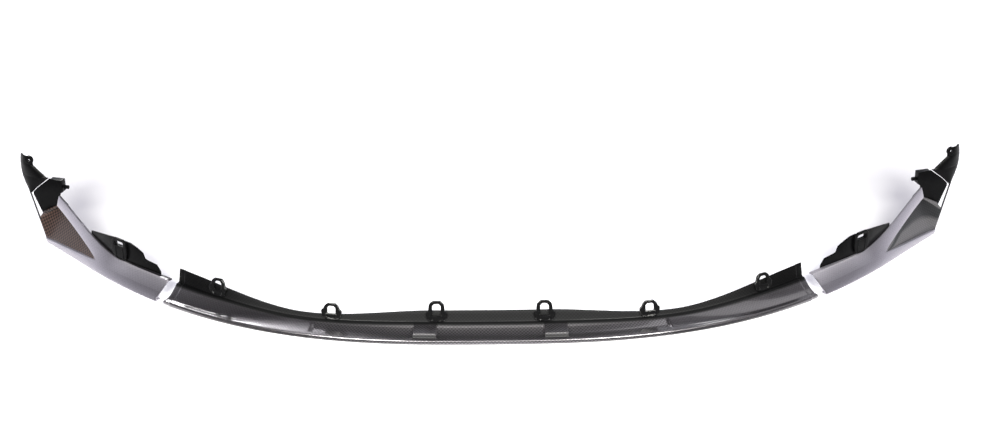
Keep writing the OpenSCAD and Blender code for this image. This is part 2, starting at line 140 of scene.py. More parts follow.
def finish_piece(piece, node, material, angle=35):
    """Smooths a piece, gives it its finish and puts it in its CAD node's place."""
    only(piece)
    bpy.ops.object.transform_apply(location=True, rotation=True, scale=True)
    bpy.ops.object.shade_smooth_by_angle(angle=math.radians(angle))
    piece.data.materials.clear()
    piece.data.materials.append(material)
    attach(piece, "root")
    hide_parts(node)
    print(piece.name, "stands for", node, "with", len(piece.data.polygons), "faces")


def mix(a, b, t):
    """The value a share t of the way from a to b."""
    return a + (b - a) * t


def ramp(x, low, high):
    """0 up to low, 1 from high on, and a straight climb between."""
    return max(0.0, min(1.0, (x - low) / (high - low)))


def smooth(t):
    """Rounds off both ends of a ramp."""
    return t * t * (3 - 2 * t)


def steps(low, high, count):
    """Evenly spaced values from low up to high, without high itself."""
    return [mix(low, high, i / count) for i in range(count)]


# %% [markdown]
# ## The front edge
# All three carbon pieces follow one front edge. It starts level with the car's nose and
# sweeps back along a power curve, then runs straight to the wheel arch. A place on the set
# is given by its station along that edge, its chord behind the edge and its height.

# %% Front edge
SWEEP_BACK, SWEEP_AT, SWEEP_POWER, STRAIGHT_FROM = 164, 600, 2.7, 760
NOSE_Y = -242.915


def edge_slope(x):
    share = min(x, STRAIGHT_FROM) / SWEEP_AT
    return SWEEP_BACK * SWEEP_POWER / SWEEP_AT * share ** (SWEEP_POWER - 1)


def edge_back(x):
    share = min(x, STRAIGHT_FROM) / SWEEP_AT
    return SWEEP_BACK * share ** SWEEP_POWER + max(0, x - STRAIGHT_FROM) * edge_slope(x)


def edge_point(x, chord, z, along=0):
    """A point of the right half, in metres."""
    m = edge_slope(x)
    h = math.hypot(1, m)
    return Vector((x + (along - chord * m) / h,
                   NOSE_Y + edge_back(x) + (chord + along * m) / h, z)) * MM


def lip_point(x, chord, z):
    """The same on the half that the station's sign names."""
    p = edge_point(abs(x), chord, z)
    return Vector((math.copysign(p.x, x) if x else 0.0, p.y, p.z))


print("the edge sweeps back", round(edge_back(SWEEP_AT)), "mm at station", SWEEP_AT)

# %% [markdown]
# ## A skin laid over its sections
# A moulded skin is a thin sheet that changes its section slowly from end to end. It is
# modelled the way it is laid up: a flat grid is added, and each row of its points is laid
# on one section. The grid's UV map is then measured along the cloth, in metres, so that
# the weave later follows the surface. Solidify gives the sheet its thickness, and a small
# bevel breaks its cut edges.

# %% Laying a grid on sections
def lay_grid(name, rows, cloth=None):
    """Adds a grid and lays its rows of points on the given ones; cloth gives a point's UV."""
    nx, ny = len(rows) - 1, len(rows[0]) - 1
    only(None)
    bpy.ops.mesh.primitive_grid_add(x_subdivisions=nx, y_subdivisions=ny, size=1)
    piece = bpy.context.object
    piece.name = name
    place = {}
    for v in piece.data.vertices:
        i, j = round((v.co.x + 0.5) * nx), round((v.co.y + 0.5) * ny)
        place[v.index] = (i, j)
        v.co = rows[i][j]
    middle = ny // 2
    across = [0.0]
    for i in range(nx):
        across.append(across[-1] + (rows[i + 1][middle] - rows[i][middle]).length)
    down_rows = []
    for row in rows:
        length = [0.0]
        for j in range(ny):
            length.append(length[-1] + (row[j + 1] - row[j]).length)
        down_rows.append([v - length[middle] for v in length])
    uv = piece.data.uv_layers.active.data
    for loop in piece.data.loops:
        i, j = place[loop.vertex_index]
        measured = (across[i] - across[nx // 2], down_rows[i][j])
        uv[loop.index].uv = cloth(rows[i][j]) if cloth else measured
    return piece, place


def rounded(points, radii, count=5):
    """A polyline whose corners are rounded, each by the same number of points."""
    out = [Vector(points[0])]
    for i in range(1, len(points) - 1):
        p, a, b = Vector(points[i]), Vector(points[i - 1]), Vector(points[i + 1])
        if not radii[i]:
            out.append(p)
            continue
        cut = min(radii[i], (a - p).length * 0.48, (b - p).length * 0.48)
        start, end = p + (a - p).normalized() * cut, p + (b - p).normalized() * cut
        for k in range(count + 1):
            t = k / count
            out.append(start * (1 - t) ** 2 + p * 2 * t * (1 - t) + end * t * t)
    out.append(Vector(points[-1]))
    return out


def wall(piece, thickness, edge):
    """Turns a sheet into a wall behind its face and breaks the cut edges."""
    return bevel(thicken(piece, thickness), edge, segments=2)


# %% [markdown]
# ## Woven carbon cloth
# Carbon cloth is woven from flat bundles of fibres, called tows. The photograph is too
# coarse to show which weave this is: it shows a fine checker at most. So a plain weave is
# drawn, in which each tow goes over one crossing tow and under the next. Tows are often
# about 2 mm wide. They are drawn wider here, so that they show at the photograph's size.
# Materials are built from nodes, and these helpers add a node and feed it in one line.

# %% Node helpers
FLOAT, VECTOR = "NodeSocketFloat", "NodeSocketVector"


def feed(tree, node, inputs):
    """Gives inputs, by name or number, their values: an output is linked, a constant is set."""
    for key, value in inputs.items():
        if isinstance(value, bpy.types.NodeSocket):
            tree.links.new(value, node.inputs[key])
        else:
            node.inputs[key].default_value = value
    return node


def add_node(tree, kind, inputs=None, **settings):
    """Adds a node with these settings and feeds its inputs."""
    node = tree.nodes.new(kind)
    for key, value in settings.items():
        setattr(node, key, value)
    return feed(tree, node, inputs or {})


def math_node(tree, operation, *values):
    """A Math node on outputs or numbers; gives its result."""
    inputs = dict(enumerate(values))
    return add_node(tree, "ShaderNodeMath", inputs, operation=operation).outputs[0]


def mix_node(tree, factor, a, b, blend="MIX"):
    """A mix of two colours; gives its result."""
    node = add_node(tree, "ShaderNodeMix", {}, data_type="RGBA", blend_type=blend)
    return feed(tree, node, {"Factor": factor, "A": a, "B": b}).outputs["Result"]


def new_group(name, inputs, outputs):
    """An empty shader group; inputs are (name, type, value), outputs are names of numbers."""
    group = bpy.data.node_groups.new(name, "ShaderNodeTree")
    for label, kind, value in inputs:
        socket = group.interface.new_socket(label, in_out="INPUT", socket_type=kind)
        if value is not None:
            socket.default_value = value
    for label in outputs:
        group.interface.new_socket(label, in_out="OUTPUT", socket_type=FLOAT)
    return group, add_node(group, "NodeGroupInput"), add_node(group, "NodeGroupOutput")


# %% [markdown]
# The pattern is the same on every skin, so it is one node group. It parts the cloth into
# squares one tow wide and finds which of the two tows lies on top in each. It puts out that
# mask, a height for the bump and the fine fibre lines along each tow.

# %% Weave group
FIBRE_CELL = 0.002
weave_group, w_in, w_out = new_group(
    "Plain weave", [("Cloth", VECTOR, None), ("Tow width", FLOAT, 0.002)],
    ["Along", "Height", "Fibre"])
split = add_node(weave_group, "ShaderNodeSeparateXYZ", {0: w_in.outputs["Cloth"]})
tow_count = [math_node(weave_group, "DIVIDE", split.outputs[k], w_in.outputs["Tow width"])
             for k in (0, 1)]
square = math_node(weave_group, "SUBTRACT",
                   *[math_node(weave_group, "FLOOR", count) for count in tow_count])
over = math_node(weave_group, "LESS_THAN",
                 math_node(weave_group, "FLOORED_MODULO", square, 2.0), 1.0)


def top_tow(along, crossing):
    """The first where the tows along the cloth lie on top, else the second."""
    node = add_node(weave_group, "ShaderNodeMix", data_type="FLOAT")
    return feed(weave_group, node, {"Factor": over, "A": crossing, "B": along}).outputs[0]


crowns, fibres = [], []
for count, stretch in zip(tow_count, ((9.0, 0.6, 1.0), (0.6, 9.0, 1.0))):
    across_tow = math_node(weave_group, "FRACT", count)
    crowns.append(math_node(weave_group, "SINE",
                            math_node(weave_group, "MULTIPLY", across_tow, math.pi)))
    scaled = add_node(weave_group, "ShaderNodeVectorMath", {
        0: w_in.outputs["Cloth"], 1: [v / FIBRE_CELL for v in stretch]}, operation="MULTIPLY")
    grain = add_node(weave_group, "ShaderNodeTexNoise", {
        "Vector": scaled.outputs[0], "Scale": 1.0, "Detail": 2.0})
    fibres.append(grain.outputs["Fac"])
feed(weave_group, w_out, {"Along": over, "Height": top_tow(*crowns), "Fibre": top_tow(*fibres)})
print("weave group has", len(weave_group.nodes), "nodes")

# %% [markdown]
# ## Clear-coated carbon
# The fibres shine like dull metal under a smooth clear coat, so the base is partly
# metallic and fairly rough, and the coat on top is smooth. The tows that run one way are a
# little lighter than those that cross them. Masks painted on the meshes as attributes make
# some parts darker, lighter or duller than the rest, and each mask brings in its own pair
# of tow colours. Most of the darker and lighter parts are painted shade and painted light,
# not the carbon's own colour.

# %% Carbon material
TOW, LEFT_TOW = 0.0032, 0.004
METALLIC, ROUGHNESS = 0.95, 0.3


def new_material(name):
    """A material with nodes, its tree and its shader."""
    material = bpy.data.materials.new(name)
    material.use_nodes = True
    return material, material.node_tree, material.node_tree.nodes["Principled BSDF"]


def carbon_material(name, tows, masks, tow_width=TOW):
    """Woven carbon; tows are the colours of its crossing tows, masks change them."""
    material, tree, shader = new_material(name)
    cloth = add_node(tree, "ShaderNodeUVMap", uv_map="UVMap")
    weave = add_node(tree, "ShaderNodeGroup", {}, node_tree=weave_group)
    feed(tree, weave, {"Cloth": cloth.outputs[0], "Tow width": tow_width})

    def painted(attribute):
        return add_node(tree, "ShaderNodeAttribute", attribute_name=attribute).outputs["Fac"]

    def crossing(pair):
        return mix_node(tree, weave.outputs["Along"], (*pair[0], 1), (*pair[1], 1))
    colour = crossing(tows)
    for attribute, pair in masks.items():
        colour = mix_node(tree, painted(attribute), colour, crossing(pair))
    sheen = math_node(tree, "MULTIPLY_ADD", weave.outputs["Fibre"], 0.5, 0.75)
    rough = math_node(tree, "MULTIPLY_ADD", weave.outputs["Fibre"], 0.16, ROUGHNESS - 0.08)
    bump = add_node(tree, "ShaderNodeBump", {
        "Strength": 0.35, "Distance": 0.0002, "Height": weave.outputs["Height"]})
    feed(tree, shader, {
        "Base Color": mix_node(tree, 1, colour, sheen, "MULTIPLY"),
        "Roughness": math_node(tree, "MULTIPLY_ADD", painted("matt"), 0.35, rough),
        "Metallic": math_node(tree, "MULTIPLY_ADD", painted("recess"), -0.4, METALLIC),
        "Coat Weight": math_node(tree, "MULTIPLY_ADD", painted("matt"), -0.92, 1.0),
        "Coat Roughness": 0.05, "Coat IOR": 1.5, "Normal": bump.outputs[0]})
    return material


# pocket is painted light; flange is drawn near black and also carries painted shade on the pads'
# fronts; shade is painted shade at the flange's ends.
centre_carbon = carbon_material("centre_carbon", ((0.124, 0.117, 0.126), (0.148, 0.139, 0.151)), {
    "pocket": ((0.150, 0.142, 0.152), (0.260, 0.247, 0.265)),
    "flange": ((0.020, 0.020, 0.021), (0.027, 0.027, 0.028)),
    "shade": ((0.004, 0.004, 0.0045), (0.007, 0.007, 0.0075))})
# The corner blades' tows are nearly three times as light as the centre lip's: painted light on the
# same carbon. The right blade's copy is 7 percent darker: painted shade.
blade = ((0.352, 0.332, 0.377), (0.374, 0.354, 0.399))
shaded_right_blade = [[v * 0.93 for v in tow] for tow in blade]
# Painted highlight: pale tows for the top edge near the centre lip and, faintly, for the arms.
painted_highlight = ((0.66, 0.63, 0.69), (0.72, 0.69, 0.75))
# Painted shade: near-black tows for the carbon horn.
horn_shade = ((0.03, 0.028, 0.032), (0.04, 0.038, 0.042))
# Left hand: recess is painted shade on the recess floor, tinted brown; strip is painted shade on
# the strip behind the top edge.
left_carbon = carbon_material("left_corner_carbon", blade, {
    "painted_highlight": painted_highlight, "recess": ((0.012, 0.007, 0.006), (0.076, 0.043, 0.034)), "horn": horn_shade,
    "strip": ((0.045, 0.043, 0.05), (0.055, 0.052, 0.06))}, LEFT_TOW)
# Right hand: recess is a lighter painted shade on the recess floor; fold is painted shade under
# the upper arm and along the lower arm.
right_carbon = carbon_material("right_corner_carbon", shaded_right_blade, {
    "painted_highlight": painted_highlight, "recess": ((0.085, 0.082, 0.085), (0.115, 0.110, 0.115)),
    "fold": ((0.014, 0.014, 0.016), (0.022, 0.022, 0.024)), "horn": horn_shade})
print("carbon finishes:", centre_carbon.name, left_carbon.name, right_carbon.name)

# %% [markdown]
# ## Black moulded plastic
# The ears, brackets and winglets are injection moulded. The mould leaves a very fine
# grain, so a noise with cells of 0.4 mm drives a faint bump and breaks up the roughness,
# and one sixty times as coarse changes the tone. The ears are shinier than the brackets,
# so each gets its own values.

# %% Grain group and plastics
grain_group, g_in, g_out = new_group(
    "Moulded grain", [("Place", VECTOR, None), ("Grain size", FLOAT, 0.0004)], ["Grain", "Cloud"])
for output, factor, detail in (("Grain", 1.0, 3.0), ("Cloud", 60.0, 2.0)):
    size = math_node(grain_group, "MULTIPLY", g_in.outputs["Grain size"], factor)
    noise = add_node(grain_group, "ShaderNodeTexNoise", {
        "Vector": g_in.outputs["Place"], "Scale": math_node(grain_group, "DIVIDE", 1.0, size),
        "Detail": detail})
    feed(grain_group, g_out, {output: noise.outputs["Fac"]})


def plastic_material(name, colour, rough, shine, coat=0.0):
    """Black moulded plastic with a fine grain and slow changes of tone."""
    material, tree, shader = new_material(name)
    place = add_node(tree, "ShaderNodeTexCoord")
    skin = add_node(tree, "ShaderNodeGroup", {}, node_tree=grain_group)
    feed(tree, skin, {"Place": place.outputs["Object"]})
    darker, lighter = [(*[v * change for v in colour], 1) for change in (0.75, 1.3)]
    bump = add_node(tree, "ShaderNodeBump", {
        "Strength": 0.15, "Distance": 0.0001, "Height": skin.outputs["Grain"]})
    feed(tree, shader, {
        "Base Color": mix_node(tree, skin.outputs["Cloud"], darker, lighter),
        "Roughness": math_node(tree, "MULTIPLY_ADD", skin.outputs["Grain"], 0.2, rough - 0.1),
        "Specular IOR Level": shine, "Coat Weight": coat, "Coat Roughness": 0.06,
        "Normal": bump.outputs[0]})
    return material


bracket_plastic = plastic_material("bracket_plastic", (0.0018, 0.0018, 0.002), 0.34, shine=0.06)
ear_plastic = plastic_material("ear_plastic", (0.002, 0.002, 0.0022), 0.25, shine=0.1, coat=1.0)
print("plastics:", bracket_plastic.name, ear_plastic.name)

# %% [markdown]
# ## Centre lip
# The centre lip is one skin: a flat underside, a low rounded nose, a narrow rim, shallow
# pockets that rise in a hollow curve to a ridge, and an upright flange behind. Two raised
# pads interrupt the pockets. Each station's section is worked out from the same sizes as
# the CAD model, with its corners rounded.

# %% Centre lip sections
LIP_HALF, SKIN = 600, 2.5
NOSE_R, RIM_Z, RIM_W, UNDER = 5, 9.5, 4, 85
PAD_AT, PAD_HALF, PAD_EDGE = 117, 21.5, 1.6
PAD_FROM, PAD_TO = PAD_AT - PAD_HALF, PAD_AT + PAD_HALF
POCKET_END, POCKET_OUT, POCKET_DEPTH = 320, 7, 2
POCKET_STOP = POCKET_END + POCKET_OUT
DIP_AT, RIDGE_Z, FLANGE_Z = 345, (21, 16, 30), (42, 25, 55)
RIDGE_C_MID, RIDGE_C_END = 42, 37
SHELF_W, SHELF_RISE, FLANGE_LEAN = 6, 0.5, math.radians(11)
JOGGLE_W, JOGGLE = 11, 1.2
JOINT_AT = LIP_HALF - JOGGLE_W
SLOPE_STEPS = 24


def along_lip(x, mid, dip, end):
    """A height that is level in the middle, dips, and climbs to the end."""
    if x < DIP_AT:
        return mix(mid, dip, smooth(ramp(x, PAD_FROM, DIP_AT)))
    return mix(dip, end, smooth(ramp(x, DIP_AT, LIP_HALF)))


def ridge_c(x):
    return mix(RIDGE_C_MID, RIDGE_C_END, smooth(ramp(x, DIP_AT, LIP_HALF)))


def ramp_line(x):
    """Chord and height from the rim, where s is 0, up to the ridge, where it is 1."""
    start, rc, rz = NOSE_R + RIM_W, ridge_c(x), along_lip(x, *RIDGE_Z)
    rise = rz - RIM_Z
    pad = smooth(ramp(PAD_HALF - abs(x - PAD_AT), 0, PAD_EDGE))
    pocket = (1 - pad) * (1 - smooth(ramp(x, POCKET_END, POCKET_STOP)))
    line = []
    for k in range(SLOPE_STEPS + 1):
        s = (k / SLOPE_STEPS) ** 1.5
        plain = rise * s ** 1.6
        sunk = (-POCKET_DEPTH * smooth(ramp(s, 0, 0.06)) * (1 - smooth(ramp(s, 0.3, 0.8)))
                + rise * max(0, (s - 0.4) / 0.6) ** 1.9)
        raised = rise * (0.62 * smooth(ramp(s, 0, 0.09)) + 0.38 * s)
        line.append((mix(start, rc, s), RIM_Z + mix(mix(plain, sunk, pocket), raised, pad)))
    return line


def lip_section(x):
    """The whole section, from the back of the underside round to the flange's top."""
    rz, fz = along_lip(x, *RIDGE_Z), along_lip(x, *FLANGE_Z)
    foot = (ridge_c(x) + SHELF_W, rz + SHELF_RISE)
    top = (foot[0] + (fz - foot[1]) * math.tan(FLANGE_LEAN), fz)
    rim = (NOSE_R + RIM_W - 1, RIM_Z)
    nose = rounded([(UNDER, 0), (50, 0), (20, 0), (0, 0), (0, RIM_Z), rim],
                   [0, 0, 0, NOSE_R, 3.4, 0])
    slope = ramp_line(x)
    back = rounded([slope[-3], slope[-1], foot, top], [0, 2.2, 2.0, 0])
    flange = [Vector(back[-2]).lerp(back[-1], t) for t in (0.33, 0.66)]
    return nose[:-1] + [Vector(p) for p in slope[:-2]] + back[1:-1] + flange + back[-1:]


def tuck(line, depth):
    """A section moved inwards, for the stepped-down joint strip at each end."""
    out = []
    for i, p in enumerate(line):
        a, b = line[max(0, i - 1)], line[min(len(line) - 1, i + 1)]
        d = (b - a).normalized()
        out.append(p + Vector((d.y, -d.x)) * depth)
    return out


breaks = [(0, 12), (PAD_FROM - 3, 10), (PAD_FROM + 3, 6), (PAD_TO - 3, 10), (PAD_TO + 3, 22),
          (POCKET_END - 2, 9), (POCKET_STOP + 2, 34), (JOINT_AT - 3, 5), (JOINT_AT + 1, 0)]
half = []
for (low, count), (high, _) in zip(breaks, breaks[1:]):
    half += steps(low, high, count)
half += [JOINT_AT + 1, LIP_HALF - 4, LIP_HALF]
stations = [-x for x in reversed(half[1:])] + half
rows = []
for x in stations:
    line = lip_section(abs(x))
    sink = JOGGLE * smooth(ramp(abs(x), JOINT_AT - 2, JOINT_AT))
    rows.append([lip_point(x, p.x, p.y) for p in (tuck(line, sink) if sink else line)])
print("centre lip:", len(rows), "sections of", len(rows[0]), "points")


# %% [markdown]
# The lip's flange is drawn nearly black, and its ends are darker still with painted shade.
# The fronts of the pads are darkened with painted shade, and the pockets are made lighter
# with painted light. Masks mark these parts: each gives a number for a point, from its
# section i and its place j along the section. They are painted before the wall is made,
# because Solidify and Bevel carry them on to the new faces.

# %% Centre lip skin
SLOPE_FROM, FLANGE_FROM = 15, len(rows[0]) - 15
SHADE_FROM, SHADE_TO = 420, 570


def paint(piece, name, values):
    """Writes one number per vertex as an attribute."""
    layer = piece.data.attributes.new(name, "FLOAT", "POINT")
    for index, value in values.items():
        layer.data[index].value = value


def paint_masks(piece, place, masks):
    """Paints each mask by its name."""
    for name, mask in masks.items():
        paint(piece, name, {v: mask(i, j) for v, (i, j) in place.items()})


def flange_mask(i, j):
    return smooth(ramp(j, FLANGE_FROM - 2, FLANGE_FROM))


def pad_shade_mask(i, j):
    """Painted shade: near 1 on the steep front of a pad, and fading behind its top edge."""
    on_pad = smooth(ramp(PAD_HALF - abs(abs(stations[i]) - PAD_AT), 0, PAD_EDGE))
    front = (1 - ramp(j, SLOPE_FROM + 5, SLOPE_FROM + 7)) * ramp(j, SLOPE_FROM - 1, SLOPE_FROM)
    return (0.92 - 0.32 * ramp(j, SLOPE_FROM + 3, SLOPE_FROM + 5)) * on_pad * front


centre_lip, place = lay_grid("centre_lip_skin", rows)
# Painted masks: flange adds painted shade on the pads' fronts, shade is painted shade at the
# flange's ends, pocket is painted light.
paint_masks(centre_lip, place, {
    "flange": lambda i, j: max(flange_mask(i, j), pad_shade_mask(i, j)),
    "matt": lambda i, j: max(flange_mask(i, j), 0.9 * pad_shade_mask(i, j)),
    "shade": lambda i, j: flange_mask(i, j) * smooth(ramp(abs(stations[i]), SHADE_FROM, SHADE_TO)),
    "pocket": lambda i, j: 1 - smooth(ramp(abs(stations[i]), POCKET_END - 2, POCKET_STOP))})
wall(centre_lip, SKIN, 0.5)
finish_piece(centre_lip, "centre_lip", centre_carbon)

# %% [markdown]
# ## Corner skins
# Each corner piece is a leaning blade that forks into an upper and a lower arm, with a
# set-back floor between them. It is laid up like the centre lip. Only the right one is
# worked out; the left one will be its mirrored copy.

# %% Corner sections
CORNER_FROM, CORNER_L, ARM_SHORT = 618, 252, 6
CORNER_AT = CORNER_FROM + CORNER_L
RECESS_FROM, RECESS_TO, TOP_FROM = 13, 35, 38  # numbers of points along a section
ARM_END = CORNER_AT - ARM_SHORT
KINK_AT, FORK_AT = CORNER_FROM + 110, CORNER_FROM + 142
NEAR_Z, KINK_Z, ARM_Z, ARM_H = 29, 34, 95, 20
NEAR_C, FORK_C, ARM_C, STRIP_W = 37, 25.5, 31, 10
FORK_Z, LOW_ARM_Z, RECESS_UP, RECESS_LOW, EDGE_R = 19, 8, 14, 4, 3
CORNER_RADII = [0, 3.5, 0, 1.2, 1.0] + [0] * 11 + [1.5, 1.2, 0, 1.6, 0]
NEAR_ROWS, KINK_ROWS, ARM_ROWS, TAB_ROWS = 30, 10, 36, 10
SMOOTH_FROM, SMOOTH_ROUNDS = 60, 60


def top_c(x):
    if x < FORK_AT:
        return mix(NEAR_C, FORK_C, smooth(ramp(x, CORNER_FROM, FORK_AT)))
    return mix(FORK_C, ARM_C, smooth(ramp(x, FORK_AT, ARM_END)))


def top_z(x):
    if x < KINK_AT:
        return mix(NEAR_Z, KINK_Z, ramp(x, CORNER_FROM, KINK_AT))
    return mix(KINK_Z, ARM_Z, ramp(x, KINK_AT, ARM_END) ** 1.25)


def strip_w(x):
    """Width of the strip behind the top edge."""
    return mix(STRIP_W, SKIN + 0.5, ramp(x, CORNER_FROM, KINK_AT))


def between(a, b, count=12):
    """The points that part a straight line evenly, without its ends."""
    return [(mix(a[0], b[0], k / count), mix(a[1], b[1], k / count)) for k in range(1, count)]


def corner_section(x, arm=True):
    """Chord and height from the back of the underside up to the strip on the top edge."""
    tz, tc, fork = top_z(x), top_c(x), ramp(x, FORK_AT, ARM_END)
    fold = FORK_Z * tz / top_z(FORK_AT) if x < FORK_AT else FORK_Z
    lz = mix(fold - 1, LOW_ARM_Z, ramp(x, FORK_AT, CORNER_AT))
    uz = mix(fold + 1, ARM_Z - ARM_H, fork)
    deep, low = RECESS_UP * fork, RECESS_LOW * ramp(fork, 0, 0.3)

    def sheet(z):
        return tc * ramp(z, EDGE_R, tz)
    opened = ramp(x, FORK_AT, FORK_AT + 20)
    top, bottom = uz - 0.5 - deep * 0.2, lz + 0.4 + low * 0.3
    floor_top = (sheet(mix(top, uz, opened)) + deep, top)
    floor_low = (sheet(mix(bottom, lz, opened)) + low * 0.9, bottom)
    under, waist = mix(13, tc, ramp(x, CORNER_FROM, CORNER_AT)), (EDGE_R + lz) / 2
    points = [(under, 0), (0, 0), (sheet(waist), waist), (sheet(lz), lz), floor_low,
              *between(floor_low, floor_top), floor_top]
    if arm:
        points += [(sheet(uz), uz), (mix(sheet(uz), tc, 0.5), mix(uz, tz, 0.5)), (tc, tz),
                   (tc + strip_w(x), tz)]
    else:
        points += [(floor_top[0] + k * 0.6, floor_top[1] + k * 1.2) for k in (1, 2, 3, 4)]
    return rounded(points, CORNER_RADII, 4)


HORN_ALONG, HORN_ROOT_Z, HORN_C = 29, 42, 3.5


def outer_section():
    """The skin's outer edge, where it meets the wheel arch."""
    low, root = (1.6, LOW_ARM_Z + 1.4), (HORN_C, HORN_ROOT_Z)
    points = [(ARM_C * 0.8, 0), (0, 0), (0.2, (EDGE_R + LOW_ARM_Z) / 2), (0.4, LOW_ARM_Z), low,
              *between(low, root), root]
    points += [(HORN_C + 6.5 * k / 4, HORN_ROOT_Z + 17 * k / 4) for k in (1, 2, 3, 4)]
    return rounded(points, CORNER_RADII, 4)


def outer_along(z):
    """How far the outer edge stands out at a height."""
    return HORN_ALONG * min(z / HORN_ROOT_Z, 2 - z / HORN_ROOT_Z)


corner_stations = (steps(CORNER_FROM, KINK_AT, NEAR_ROWS) + steps(KINK_AT, FORK_AT, KINK_ROWS)
                   + steps(FORK_AT, ARM_END, ARM_ROWS) + [ARM_END])
corner_rows = [[edge_point(x, p.x, p.y) for p in corner_section(x)] for x in corner_stations]
folded = [edge_point(ARM_END + 0.6, p.x, p.y) for p in corner_section(ARM_END + 0.6, False)]
outer = [edge_point(CORNER_AT, p.x, p.y, outer_along(p.y)) for p in outer_section()]
heading = [(a - b) for a, b in zip(folded, corner_rows[-6])]
for k in range(TAB_ROWS + 1):
    t = k / TAB_ROWS
    bulge = t * (1 - t) ** 2
    corner_rows.append([a.lerp(b, t) + d * bulge * (0.9 if RECESS_FROM < j < RECESS_TO else 0.3)
                        for j, (a, b, d) in enumerate(zip(folded, outer, heading))])
for _ in range(SMOOTH_ROUNDS):
    for i in range(SMOOTH_FROM, len(corner_rows) - 1):
        for j in range(RECESS_FROM + 3, RECESS_TO - 8):
            middle = (corner_rows[i - 1][j] + corner_rows[i + 1][j]) / 2
            corner_rows[i][j] = corner_rows[i][j].lerp(middle, 0.5)
print("corner skin:", len(corner_rows), "sections of", len(corner_rows[0]), "points")

# %% [markdown]
# What comes in two hands is modelled once, for the right side. Its copy is turned over in
# edit mode, and its normals are flipped back, so that its faces still point outwards.

# %% Copies of the other hand
def mirror_copy(piece, name):
    """The left-hand copy of a right-hand piece, with its own mesh."""
    only(piece)
    bpy.ops.object.duplicate()
    copy = bpy.context.object
    copy.name = name
    edit_all(copy, bpy.ops.transform.resize, value=(-1, 1, 1), center_override=(0, 0, 0))
    return edit_all(copy, bpy.ops.mesh.flip_normals)


def both_hands(piece, name, material, left_material=None, angle=35):
    """Finishes a right-hand piece and its left-hand copy."""
    copy = mirror_copy(piece, "left_" + name + "_part")
    finish_piece(piece, "right_" + name, material, angle)
    finish_piece(copy, "left_" + name, left_material or material, angle)


print("left-hand pieces are mirrored copies of the right-hand ones")

# %% [markdown]
# The corner skins are masked like the lip. Painted shade darkens the recess, and more so
# its folds; a painted highlight lightens the top edge, and painted shade darkens the strip
# behind it near the centre lip. Both hands carry every mask, and each material uses those
# that its side shows. The cloth is laid along the blade and leans with it, so the UV map
# follows two turns.

# %% Corner skins
def blade_cloth(p):
    """The cloth lies straight along the blade and leans with it."""
    turn, lean = math.radians(46), math.radians(35)
    along = p.x * math.cos(turn) + p.y * math.sin(turn)
    behind = p.y * math.cos(turn) - p.x * math.sin(turn)
    return along, p.z * math.cos(lean) + behind * math.sin(lean)


skin, place = lay_grid("right_corner_skin_part", corner_rows, blade_cloth)
fork_row, end_row = NEAR_ROWS + KINK_ROWS, len(corner_rows) - TAB_ROWS - 1
last_point = len(corner_rows[0]) - 1


def recess_shade_mask(i, j):
    """1 on the recess floor and on the tab behind the end bracket: painted shade."""
    above = ramp(j, RECESS_TO - 1, RECESS_TO + 1) * (1 - ramp(i, end_row - 1, end_row))
    low = ramp(j, RECESS_FROM - 1, RECESS_FROM + 1)
    return low * (1 - above) * ramp(i, fork_row - 1, fork_row + 2)


def fold_shade_mask(i, j):
    """Painted shade: 1 on a band under the upper arm that widens outwards, a line on the lower
    arm.
    """
    out, up = ramp(i, fork_row, end_row), (j - RECESS_FROM - 3) / 12
    middle, reach = 0.3 + 0.5 * smooth(ramp(out, 0.05, 0.45)), 0.2 + 0.14 * ramp(out, 0.4, 1)
    upper = 1 - smooth(ramp(abs(up - middle), reach * 0.6, reach * 1.2))
    lower = 1 - ramp(up, 0, 0.15)
    return recess_shade_mask(i, j) * max(upper, 0.75 * lower)


def painted_highlight_mask(i, j):
    """Painted highlight: part of 1 on the top edge near the centre lip, a little on the two arms.
    """
    edge = 0.6 * ramp(j, TOP_FROM - 1.5, TOP_FROM) * (1 - ramp(i, 24, 34))
    return max(edge * (1 - 0.8 * ramp(j, TOP_FROM + 4, TOP_FROM + 6)), 0.1 * ramp(i, 20, 44))


def matt_mask(i, j):
    """The recess is duller than the arms, and so is the strip on the top edge."""
    edge = ramp(j, TOP_FROM, TOP_FROM + 2) * (1 - ramp(i, 24, 40))
    return max(0.5 * recess_shade_mask(i, j), 0.85 * edge)


def strip_shade_mask(i, j):
    """Painted shade: 1 on the flat strip behind the top edge, near the centre lip."""
    return ramp(j, last_point - 2, last_point - 1) * (1 - ramp(i, 20, 34))


paint_masks(skin, place, {"recess": recess_shade_mask, "fold": fold_shade_mask, "painted_highlight": painted_highlight_mask,
                          "matt": matt_mask, "strip": strip_shade_mask})
wall(skin, SKIN, 0.4)
print("corner skin has", len(skin.data.polygons), "faces")

# %% [markdown]
# ## End bracket
# Behind the end of each corner piece sits a plastic bracket: a plate with a box behind it,
# a curved winglet above, and a peg. Its own axes run outwards along its face, back and up.
# The thin horn of the carbon skin rises along its outer edge.

# %% End frame and horn
END_TURN = math.radians(15.4)
WINGLET_FOOT, WINGLET_TOP, OUTER_W, OUTER_Z, OUTER_BEND = -2, 76, 82, 50, 0.0044
INNER_EDGE = [(-2, 59), (10, 47), (32, 20), (34.5, 26), (57, 49.5), (66, 50), (73, 52), (76, 54)]


def end_offset(w, b, z):
    return Vector((w * math.cos(END_TURN) - b * math.sin(END_TURN),
                   w * math.sin(END_TURN) + b * math.cos(END_TURN), z)) * MM


END_ORIGIN = edge_point(ARM_END, ARM_C, ARM_Z) + end_offset(1.5, 5.8, 0)


def end_point(w, b, z):
    return END_ORIGIN + end_offset(w, b, z)


def lookup(z, table):
    """Straight-line value between the table's rows."""
    for (z0, v0), (z1, v1) in zip(table, table[1:]):
        if z <= z1:
            return mix(v0, v1, ramp(z, z0, z1))
    return table[-1][1]


